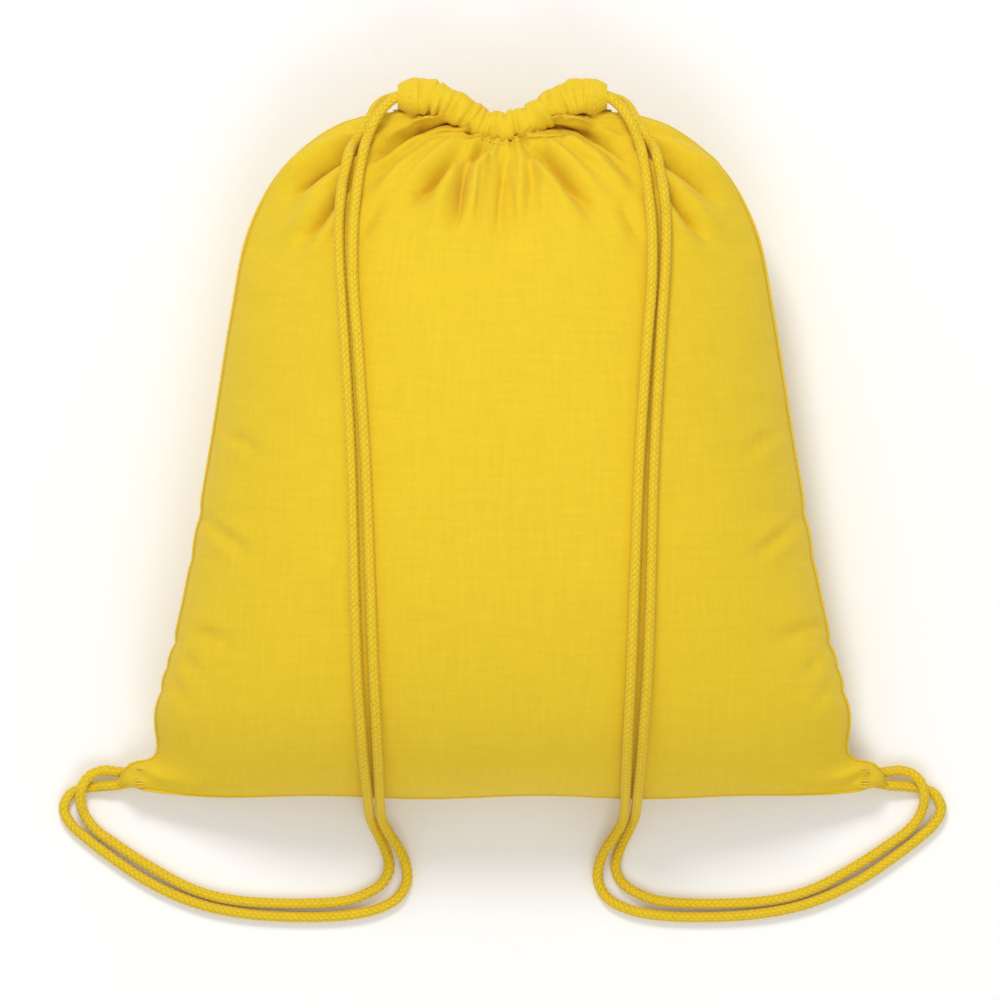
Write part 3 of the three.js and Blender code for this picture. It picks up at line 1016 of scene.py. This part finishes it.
ROUTES = (
    Route(
        "inner",
        (0.050, 0.1658, 0.0689),
        (
            (0.0320, 0.1660, 0.06885), (0.0500, 0.1658, 0.0689), (0.0560, 0.1620, 0.0703),
            (0.0613, 0.1550, 0.0726), (0.0652, 0.1465, 0.0732), (0.0678, 0.1375, 0.0740),
            (0.0702, 0.1230, 0.0814), (0.0722, 0.1030, 0.0907), (0.0723, 0.0774, 0.1007),
            (0.0696, 0.0420, 0.1107), (0.0662, -0.0100, 0.1176), (0.0642, -0.0600, 0.1174),
            (0.0625, -0.1080, 0.1079), (0.0612, -0.1360, 0.0938), (0.0606, -0.1500, 0.0832),
            (0.0602, -0.1600, 0.0728), (0.0599, -0.1690, 0.0588), (0.0597, -0.1760, 0.0435),
            (0.0594, -0.1805, 0.0295), (0.0586, -0.1856, 0.0175), (0.0556, -0.1918, 0.0100),
            (0.0510, -0.1988, 0.0070), (0.0474, -0.2066, 0.0044), (0.0466, -0.2155, 0.0028),
            (0.0510, -0.2236, 0.0027), (0.0604, -0.2289, 0.0027), (0.0750, -0.2321, 0.0027),
            (0.0980, -0.2331, 0.0027), (0.1273, -0.2312, 0.0027), (0.1510, -0.2258, 0.0027),
            (0.1730, -0.2157, 0.0027), (0.1920, -0.2030, 0.0027), (0.2034, -0.1942, 0.0027),
            (0.2103, -0.1878, 0.0027), (0.2138, -0.1804, 0.0027), (0.2106, -0.1732, 0.0027),
            (0.2040, -0.1704, 0.0027), (0.1966, -0.1694, 0.0036), (0.1895, -0.1689, 0.0058),
            (0.1800, -0.1672, 0.0068),
        ),
    ),
    Route(
        "outer",
        (0.050, 0.166, 0.0402),
        (
            (0.0320, 0.1660, 0.04015), (0.0500, 0.1660, 0.0402), (0.0556, 0.1650, 0.0430),
            (0.0598, 0.1626, 0.0510), (0.0626, 0.1588, 0.0620), (0.0652, 0.1536, 0.0682),
            (0.0696, 0.1466, 0.0676), (0.0736, 0.1402, 0.0704), (0.0766, 0.1280, 0.0770),
            (0.0789, 0.1100, 0.0859), (0.0788, 0.0860, 0.0955), (0.0769, 0.0570, 0.1046),
            (0.0732, -0.0080, 0.1149), (0.0712, -0.0820, 0.1127), (0.0700, -0.1150, 0.1036),
            (0.0684, -0.1390, 0.0900), (0.0677, -0.1500, 0.0820), (0.0667, -0.1620, 0.0702),
            (0.0659, -0.1700, 0.0570), (0.0654, -0.1760, 0.0435), (0.0650, -0.1803, 0.0295),
            (0.0642, -0.1848, 0.0165), (0.0618, -0.1904, 0.0068), (0.0586, -0.1968, 0.0032),
            (0.0562, -0.2030, 0.0027), (0.0552, -0.2095, 0.0027), (0.0586, -0.2166, 0.0027),
            (0.0662, -0.2216, 0.0027), (0.0780, -0.2254, 0.0027), (0.1273, -0.2253, 0.0027),
            (0.1501, -0.2199, 0.0027), (0.1710, -0.2090, 0.0027), (0.1875, -0.1983, 0.0027),
            (0.1982, -0.1904, 0.0028), (0.2034, -0.1836, 0.0036), (0.2056, -0.1760, 0.0070),
            (0.2046, -0.1688, 0.0090), (0.2006, -0.1638, 0.0096), (0.1944, -0.1616, 0.0094),
            (0.1880, -0.1622, 0.0088), (0.1785, -0.1632, 0.0088),
        ),
    ),
)


@dataclass
class DrawCord:
    """One braided drawcord: two free strands and the run inside the tunnels."""

    hand: Hand
    radius: float = 0.0025
    carriers: int = 8
    braid_pitch: float = 0.0030
    relief: float = 0.00042
    step: float = 0.00065
    sides: int = 22
    pair_gap: float = 0.00255
    easing: float = 0.010
    bight_x: float = 0.0519
    bight_depth: float = 0.004
    bight_steps: int = 9
    corner_x: float = 0.15
    run_inner_x: float = 0.031
    tunnel_heights: tuple[float, float] = (0.066, 0.043)

    @property
    def body(self) -> str:
        """The CAD body that the drawn stretches move with."""
        return f"{self.hand.word}_cord"

    def braid(self, around: np.ndarray, along: np.ndarray) -> np.ndarray:
        """The height of a two-over, two-under braid.

        Args:
            around: Angles round the cord.
            along: Distances along the cord.

        Returns:
            Heights from 0, in the gaps, to 1, on the strands' backs.
        """
        turn = self.carriers * around / (2 * math.pi)
        first = turn + along / self.braid_pitch
        second = turn - along / self.braid_pitch
        crossing = np.mod(np.floor(first) + np.floor(second), 4)
        over = crossing < 2
        across = np.where(over, first, second) % 1.0
        lengthways = np.where(over, second, first) % 1.0
        leading = np.where((crossing == 0) | (crossing == 2), lengthways, 1 - lengthways)
        ridge = np.sin(math.pi * across) ** 0.55
        dive = smoothstep(leading, 0.0, 0.55) * 0.75 + 0.25
        return ridge * dive

    def tube(self, name: str, line: np.ndarray) -> bpy.types.Object:
        """Make a braided tube with closed, rounded ends along a line.

        Args:
            name: The piece's name.
            line: Its centre line, at even steps.

        Returns:
            The tube, with its braid stored for the finish.
        """
        along = lengths_along(line)
        grid_around, grid_along = np.meshgrid(angles_round(self.sides), along)
        height = self.braid(grid_around + 0.01, grid_along + 1e-5)
        from_end = np.minimum(along, along[-1] - along)
        close = np.sqrt(np.clip(1 - (1 - np.minimum(from_end / self.radius, 1)) ** 2, 0.02, 1))
        sizes = (self.radius + (height - 0.75) * self.relief) * close[:, None]
        piece = new_piece(name, *tube_shape(line, sizes))
        face_outwards(piece)
        # The braid height goes to the finish, which paints shade in the gaps from it and light on the
        # strands' backs.
        store_value(piece, "braid", height.ravel())
        return piece

    def resting(self, line: np.ndarray, bag: ClothBag) -> np.ndarray:
        """Lay a line on the filled bag, over its folds rather than down into them.

        Args:
            line: The line to lay.
            bag: The bag with its settled cloth.

        Returns:
            The line at the height where the cord rests.
        """
        floor = np.zeros(len(line))
        half = self.radius * 0.8
        for i, (x, y, _) in enumerate(line):
            if abs(x) > self.corner_x:
                continue
            below = [bag.height(x + dx, y) for dx in (-half, 0.0, half)]
            floor[i] = max(below) + self.radius * 0.92 if min(below) > 0 else 0.0
        span = max(1, int(self.easing / self.step / 2))
        padded = np.pad(floor, span, mode="edge")
        highest = np.array([padded[i : i + 2 * span + 1].max() for i in range(len(floor))])
        kernel = np.hanning(2 * span + 3)[1:-1]
        kernel /= kernel.sum()
        eased = np.convolve(np.pad(highest, span, mode="edge"), kernel, mode="valid")
        y, z = line[:, 1], line[:, 2]
        share = smoothstep(y, -0.172, -0.150) * (1 - smoothstep(y, 0.136, 0.152))
        z = z + (eased - z) * share
        lifted = np.where(floor > 0, np.maximum(z, highest), z)
        laid = line.copy()
        laid[:, 2] = np.convolve(np.pad(lifted, span, mode="edge"), kernel, mode="valid")
        return laid

    def build_strand(self, route: Route, bag: ClothBag, finishes: Finishes) -> None:
        """Args:
            route: Where the strand goes.
            bag: The bag that it lies on.
            finishes: The bag's finishes.
        """
        mirror = np.array([self.hand.value, 1.0, 1.0])
        line = smooth_line(np.array(route.points) * mirror, self.step)
        line = even_steps(self.resting(line, bag), self.step)
        name = f"{self.body}_{route.name}"
        piece = self.tube(f"{name}_braid", line)
        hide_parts(f"{name}_strand", f"{name}_tail")
        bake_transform(piece)
        finishes.dress(piece, "braided_cord")
        LOG.info("%s is %.3f m long", piece.name, lengths_along(line)[-1])

    def build_run(self, casing_line: np.ndarray, finishes: Finishes) -> None:
        """Make the run inside the tunnels and round the far ear.

        Args:
            casing_line: The casings' centre line, from left to right, with z left out.
            finishes: The bag's finishes.
        """
        side = self.hand.value
        far_x = -self.bight_x + self.bight_depth
        x = np.linspace(self.run_inner_x, far_x, 60)
        angle = math.pi * (0.5 - smoothstep(-x, -0.03, 0.03))
        y = np.interp(x, casing_line[:, 0], casing_line[:, 1])
        y_side = y + side * self.pair_gap * np.cos(angle)
        rise = self.pair_gap * np.sin(angle)
        top = np.stack([x, y_side, self.tunnel_heights[0] + rise], axis=1)
        low = np.stack([x, y_side, self.tunnel_heights[1] - rise], axis=1)[::-1]
        heights = np.linspace(top[-1, 2], low[0, 2], self.bight_steps)[1:-1]
        bend = np.sin(np.linspace(0, math.pi, self.bight_steps))[1:-1] ** 0.6
        across = far_x - self.bight_depth * bend
        turn = np.stack([across, np.full_like(across, top[-1, 1]), heights], axis=1)
        line = np.vstack([top, turn, low]) * np.array([side, 1.0, 1.0])
        piece = self.tube(f"{self.body}_tunnel_run_braid", smooth_line(line, 0.0010))
        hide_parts(f"{self.body}_tunnel_run")
        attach(piece, BAG)
        finishes.dress(piece, "braided_cord")


# ---- the gathered neck -------------------------------------------------------------------
@dataclass
class GatheredCasing:
    """One hem casing, gathered on the cords into a ruched tube with an open mouth at each end."""

    face: Face
    name: str
    centre_z: float
    ear_y: float = 0.166
    dip: float = 0.015
    dip_half: float = 0.040
    half_width: float = 0.0082
    half_height: float = 0.0078
    waist: float = 0.0009
    half_length: float = 0.0508
    lip: float = 0.0085
    mouth_share: float = 0.70
    wall: float = 0.0009
    rows: int = 331
    sides: int = 64
    fold_count: int = 31
    gather_half: float = 0.041
    spare_cloth: float = 1.9
    grid: np.ndarray = field(init=False)
    piece: bpy.types.Object = field(init=False)

    def centre(self, x: np.ndarray) -> np.ndarray:
        """The tube's centre line at each x."""
        near = np.minimum(np.abs(x) / self.dip_half, 1.0)
        y = self.ear_y - self.dip * 0.5 * (1 + np.cos(math.pi * near))
        return np.stack([x, y, np.full_like(x, self.centre_z)], axis=-1)

    def surface(self, x: np.ndarray, around: np.ndarray) -> np.ndarray:
        """The ruched tube's outside.

        Args:
            x: Where along the tube.
            around: Angles round it, from +y through +z.

        Returns:
            Points, one for each x and angle.
        """
        draw = np.random.default_rng(31 if self.face is Face.STRAP_SIDE else 47)
        sink = np.zeros_like(x)
        places = np.linspace(-self.gather_half, self.gather_half, self.fold_count)
        for place in places + draw.uniform(-0.0011, 0.0011, self.fold_count):
            slant = draw.uniform(-0.0016, 0.0016)
            turn = draw.uniform(0, 2 * math.pi)
            depth = draw.uniform(0.0012, 0.0024)
            width = draw.uniform(0.0006, 0.0012)
            gap = x - place - slant * np.sin(around + turn)
            vary = 0.55 + 0.45 * np.cos(around * draw.integers(1, 3) + turn)
            sink += depth * vary * np.exp(-(np.sqrt(gap**2 + 0.0002**2) - 0.0002) / width)
        lumps = np.zeros_like(x)
        for _ in range(6):
            turns = draw.uniform(30, 110)
            lengthways = np.sin(x * turns * 2 * math.pi + draw.uniform(0, 6))
            lumps += lengthways * np.cos(around * draw.integers(1, 4) + draw.uniform(0, 6))
        from_end = self.half_length - np.abs(x)
        gathered = smoothstep(from_end, 0.004, 0.013)
        out = (lumps * 0.00030 - sink + 0.0008) * gathered
        out = np.maximum(out, -0.0017) - self.waist * (1 - smoothstep(np.abs(x), 0.012, 0.034))
        bead = 1 - np.clip(from_end / self.lip, 0, 1)
        size = 1 - (1 - self.mouth_share) * bead**2.2
        hem = smoothstep(from_end, 0.0, 0.006) * (1 - smoothstep(from_end, 0.008, 0.014))
        size = size + 0.05 * hem
        middle = self.centre(x)
        slope = np.gradient(middle[..., 1], axis=0) / np.maximum(np.gradient(x, axis=0), 1e-9)
        length = np.hypot(1, slope)
        square = np.stack([-slope / length, 1 / length, np.zeros_like(x)], axis=-1)
        wide = (self.half_width * size + out) * np.cos(around)
        tall = (self.half_height * size + out) * np.sin(around)
        return middle + square * wide[..., None] + np.array([0, 0, 1.0]) * tall[..., None]

    def build(self, finishes: Finishes) -> None:
        """Make the tube, give it its thickness and dress it.

        Args:
            finishes: The bag's finishes.
        """
        along = np.linspace(-self.half_length, self.half_length, self.rows)
        grid_around, grid_along = np.meshgrid(angles_round(self.sides), along)
        self.grid = self.surface(grid_along, grid_around)
        faces = [f[::-1] for f in grid_faces(self.rows, self.sides, wrap=True)]
        piece = new_piece(f"{self.name}_ruched", self.grid.reshape(-1, 3), faces)
        uv = np.stack([grid_along * self.spare_cloth, grid_around * self.half_width], axis=-1)
        store_uv(piece, uv.reshape(-1, 2))
        face_outwards(piece)
        wall = piece.modifiers.new("cloth thickness", "SOLIDIFY")
        wall.thickness = self.wall
        wall.offset = -1.0
        apply_modifiers(piece)
        self.piece = piece
        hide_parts(self.name)
        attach(piece, BAG)
        finishes.dress(piece, "cotton_cloth")


# ---- seams -------------------------------------------------------------------------------
@dataclass
class RolledSeam:
    """A seam's narrow rolled edge, drawn up by its stitching into small puckers."""

    name: str
    line: np.ndarray
    radius: float = 0.0007
    pucker: float = 0.00008
    pucker_pitch: float = 0.0031
    end_taper: float = 0.004
    sides: int = 12
    step: float = 0.0009
    piece: bpy.types.Object = field(init=False)

    def build(self, finishes: Finishes) -> None:
        """Make the rolled edge along its line and dress it.

        Args:
            finishes: The bag's finishes.
        """
        line = even_steps(self.line, self.step)
        along = lengths_along(line)
        grid_around, grid_along = np.meshgrid(angles_round(self.sides), along)
        drift = 1.4 * np.sin(grid_along * 210)
        beat = np.sin(grid_along * 2 * math.pi / self.pucker_pitch + drift)
        size = self.radius + self.pucker * beat * np.cos(grid_around * 2 + grid_along * 300)
        from_end = np.minimum(along, along[-1] - along)
        size *= np.sqrt(np.clip(from_end / self.end_taper, 0.03, 1.0))[:, None]
        points, faces = tube_shape(line, size)
        points[:, 2] = np.maximum(points[:, 2], 0.0002)
        piece = new_piece(f"{self.name}_rolled", points, faces)
        uv = np.stack([grid_around * self.radius, grid_along], axis=-1).reshape(-1, 2)
        store_uv(piece, uv)
        face_outwards(piece)
        self.piece = piece
        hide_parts(self.name)
        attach(piece, BAG)
        finishes.dress(piece, "cotton_cloth")


# ---- stitching ---------------------------------------------------------------------------
@dataclass(frozen=True)
class Place:
    """Where one stitch lies: its middle, the way that it runs, and the way that is up."""

    middle: Vector
    run: Vector
    up: Vector


@dataclass
class Stitching:
    """Stitches of twisted thread, all copied from one."""

    length: float = 0.0026
    radius: float = 0.00042
    segments: int = 10
    rings: int = 9

    def one_stitch(self) -> tuple[np.ndarray, Faces]:
        """Model one arched, twisted stitch along x, with z up.

        Returns:
            Its points and its faces.
        """
        bpy.ops.object.select_all(action="DESELECT")
        bpy.ops.mesh.primitive_uv_sphere_add(
            segments=self.segments, ring_count=self.rings, radius=self.radius
        )
        stitch = bpy.context.object
        bpy.ops.object.mode_set(mode="EDIT")
        bpy.ops.mesh.select_all(action="SELECT")
        bpy.ops.transform.resize(value=(1.0, 1.0, self.length / 2 / self.radius))
        bpy.ops.transform.rotate(
            value=math.pi / 2, orient_axis="Y", center_override=(0.0, 0.0, 0.0)
        )
        bpy.ops.object.mode_set(mode="OBJECT")
        points = np.array([v.co for v in stitch.data.vertices])
        faces = [tuple(p.vertices) for p in stitch.data.polygons]
        bpy.data.objects.remove(stitch, do_unlink=True)
        share = points[:, 0] / (self.length / 2)
        angle = np.arctan2(points[:, 2], points[:, 1])
        ply = 1 + 0.16 * np.cos(2 * angle + share * 5.0)
        points[:, 1:] *= ply[:, None]
        points[:, 2] -= share**2 * self.radius * 1.1
        return points, faces

    def build(self, node: str, places: list[Place], finishes: Finishes) -> None:
        """Copy the stitch to each place as one run of stitching.

        Args:
            node: The CAD node that the run stands for.
            places: Where the stitches lie.
            finishes: The bag's finishes.
        """
        points, faces = self.one_stitch()
        all_points, all_faces = [], []
        for place in places:
            run = place.run.normalized()
            across = place.up.cross(run).normalized()
            turn = np.array([run, across, run.cross(across)])
            offset = len(all_points) * len(points)
            all_points.append(points @ turn + np.array(place.middle))
            all_faces += [tuple(i + offset for i in face) for face in faces]
        piece = new_piece(f"{node}_thread", np.vstack(all_points), all_faces)
        face_outwards(piece)
        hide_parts(node)
        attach(piece, BAG)
        finishes.dress(piece, "sewing_thread")


@dataclass
class BagStitching:
    """All the stitching that shows on the bag."""

    bag: ClothBag
    casings: dict[Face, GatheredCasing]
    pitch: float = 0.0034
    hem_reach: float = 0.044
    hem_drop: float = 0.0024
    mouth_x: float = 0.0445
    mouth_arc: float = 2.45
    corner_tack_x: float = 0.1768
    corner_tack_span: tuple[float, float] = (-0.1690, -0.1605)
    tack_run: tuple = ((0.0465, 0.158, 0.0545), (0.0532, 0.158, 0.0545))
    tack_stitches: int = 8

    def build(self, finishes: Finishes) -> None:
        """Sew the hems, the mouths and the tacks.

        Args:
            finishes: The bag's finishes.
        """
        for face in Face:
            self.hem(face, finishes)
            for hand in Hand:
                self.mouth(face, hand, finishes)
        for hand in Hand:
            self.mouth_tack(hand, finishes)
            self.corner_tack(hand, finishes)

    def hem(self, face: Face, finishes: Finishes) -> None:
        """Sew one casing's hem, just below the casing."""
        places = []
        for x in np.arange(-self.hem_reach, self.hem_reach + 1e-6, self.pitch):
            y = [float(self.bag.neck_line(np.array(x + d))) - self.hem_drop for d in (-5e-4, 5e-4)]
            ends = [self.bag.outside(face, x + d, at) for d, at in zip((-5e-4, 5e-4), y)]
            if None in ends:
                continue
            run = ends[1][0] - ends[0][0]
            up = ends[0][1]
            middle = (ends[0][0] + ends[1][0]) / 2 + up * 0.0001
            places.append(Place(middle, run, up))
        node = "outer_hem_stitching" if face is Face.OUTER else "strap_side_hem_stitching"
        Stitching().build(node, places, finishes)

    def mouth(self, face: Face, hand: Hand, finishes: Finishes) -> None:
        """Sew the turned edge of one tunnel mouth."""
        casing = self.casings[face]
        row = int(np.argmin(np.abs(casing.grid[:, 0, 0] - hand.value * self.mouth_x)))
        ring = casing.grid[row]
        middle = casing.centre(np.array(hand.value * self.mouth_x))
        centre = face.value * math.pi / 2
        places = []
        for angle in np.linspace(centre - self.mouth_arc / 2, centre + self.mouth_arc / 2, 7):
            number = int(round(angle / (2 * math.pi) * casing.sides)) % casing.sides
            point = Vector(ring[number])
            following = Vector(ring[(number + 1) % casing.sides])
            up = (point - Vector(middle)).normalized()
            places.append(Place(point + up * 0.0002, following - point, up))
        side = "outer" if face is Face.OUTER else "strap_side"
        Stitching(length=0.0023).build(f"{side}_{hand.word}_mouth_stitching", places, finishes)

    def mouth_tack(self, hand: Hand, finishes: Finishes) -> None:
        """Sew the bar that holds the two casings together at one ear."""
        start, end = (Vector((x * hand.value, y, z)) for x, y, z in self.tack_run)
        places = []
        for number in range(self.tack_stitches):
            share = number / (self.tack_stitches - 1)
            middle = start.lerp(end, 0.5) + Vector((0, (share - 0.5) * 0.0030, 0.0004))
            places.append(Place(middle, end - start, Vector((0, 0, 1))))
        Stitching(length=0.0068, radius=0.0004, rings=11).build(
            f"{hand.word}_mouth_tack", places, finishes
        )

    def corner_tack(self, hand: Hand, finishes: Finishes) -> None:
        """Sew the bar that catches both cord ends at one bottom corner."""
        places = []
        middle_x = self.corner_tack_x * hand.value
        half_run = 0.0022
        for y in np.linspace(*self.corner_tack_span, self.tack_stitches):
            ends = [
                self.bag.outside(Face.STRAP_SIDE, middle_x + shift, float(y))
                for shift in (-half_run, half_run)
            ]
            if None in ends:
                continue
            up = (ends[0][1] + ends[1][1]).normalized()
            middle = self.bag.outside(Face.STRAP_SIDE, middle_x, float(y))[0] + up * 0.0002
            places.append(Place(middle, ends[1][0] - ends[0][0], up))
        Stitching(length=0.0052, radius=0.0004, rings=11).build(
            f"{hand.word}_corner_tack", places, finishes
        )


# ---- the studio --------------------------------------------------------------------------
@dataclass
class Studio:
    """A plain pale floor, soft light and the camera."""

    camera_place: tuple[float, float, float] = (-0.0012, -0.0298, 12.0)
    lens: float = 886.0
    floor_colour: Colour = (0.97, 0.97, 0.97, 1.0)
    world_strength: float = 0.62

    def build_camera(self) -> None:
        """Look straight down at the bag."""
        camera = bpy.data.cameras.new("camera")
        camera.lens = self.lens
        camera.sensor_width = 36.0
        view = bpy.data.objects.new("camera", camera)
        view.location = self.camera_place
        bpy.context.scene.collection.objects.link(view)
        bpy.context.scene.camera = view

    def build_light(self, name: str, place: tuple, size: float, power: float) -> None:
        """Add one soft lamp that points at the bag.

        Args:
            name: The lamp's name.
            place: Where it stands.
            size: How wide it is.
            power: Its power in watts.
        """
        lamp = bpy.data.lights.new(name, "AREA")
        lamp.shape = "DISK"
        lamp.size = size
        lamp.energy = power
        holder = bpy.data.objects.new(name, lamp)
        holder.location = place
        holder.rotation_euler = (Vector((0, 0, 0.05)) - Vector(place)).to_track_quat(
            "-Z", "Y"
        ).to_euler()
        bpy.context.scene.collection.objects.link(holder)

    def build(self) -> None:
        """Set up the floor, the lamps and the surrounding light."""
        bpy.ops.object.select_all(action="DESELECT")
        bpy.ops.mesh.primitive_plane_add(size=6.0, location=(0, 0, -0.0006))
        floor = bpy.context.object
        floor.name = "floor"
        g = Graph("pale_floor")
        place = g.node("ShaderNodeTexCoord", {}, {}, "Object")
        grain = g.noise(place, 140.0, 2.0)
        colour = g.mix(grain, tint(self.floor_colour, 0.995), self.floor_colour)
        floor.data.materials.append(g.finish(Base_Color=colour, Roughness=grain * 0.05 + 0.85))
        self.build_light("key", (-0.25, 1.15, 1.65), 0.6, 17.0)
        self.build_light("fill", (0.2, -1.3, 1.8), 1.4, 9.0)
        world = bpy.data.worlds.new("studio")
        bpy.context.scene.world = world
        world.use_nodes = True
        background = world.node_tree.nodes["Background"]
        background.inputs["Color"].default_value = (1.0, 1.0, 1.0, 1.0)
        background.inputs["Strength"].default_value = self.world_strength
        bpy.context.scene.view_settings.view_transform = "Standard"


# ---- the backpack ------------------------------------------------------------------------
def declare_sheets(
    casings: dict[Face, GatheredCasing], seams: list[RolledSeam]
) -> None:
    """List the pieces sewn to each cloth panel; nothing is done with the lists.

    Args:
        casings: Its casings.
        seams: Its rolled seams.
    """
    for face in Face:
        sewn = [casings[face].piece]
        if face is Face.STRAP_SIDE:
            sewn += [seam.piece for seam in seams]


def main() -> None:
    """Build the backpack, sub-assembly by sub-assembly."""
    logging.basicConfig(level=logging.INFO, format="%(message)s")
    studio = Studio()
    studio.build_camera()
    finishes = Finishes()
    bag = ClothBag()
    bag.build(finishes)
    casings = {
        Face.STRAP_SIDE: GatheredCasing(Face.STRAP_SIDE, "strap_side_casing", 0.066),
        Face.OUTER: GatheredCasing(Face.OUTER, "outer_casing", 0.043),
    }
    for casing in casings.values():
        casing.build(finishes)
    casing_line = casings[Face.OUTER].centre(np.linspace(-0.06, 0.06, 200))[:, :2]
    for hand in Hand:
        cord = DrawCord(hand)
        for route in ROUTES:
            cord.build_strand(route, bag, finishes)
        cord.build_run(casing_line, finishes)
    grid = bag.grids[Face.STRAP_SIDE]
    seams = [
        RolledSeam("left_side_seam", grid[2:-1, 0]),
        RolledSeam("right_side_seam", grid[2:-1, -1]),
        RolledSeam("bottom_seam", grid[0, 3:-3]),
    ]
    for seam in seams:
        seam.build(finishes)
    BagStitching(bag, casings).build(finishes)
    declare_sheets(casings, seams)
    studio.build()


if __name__ == "__main__":
    main()
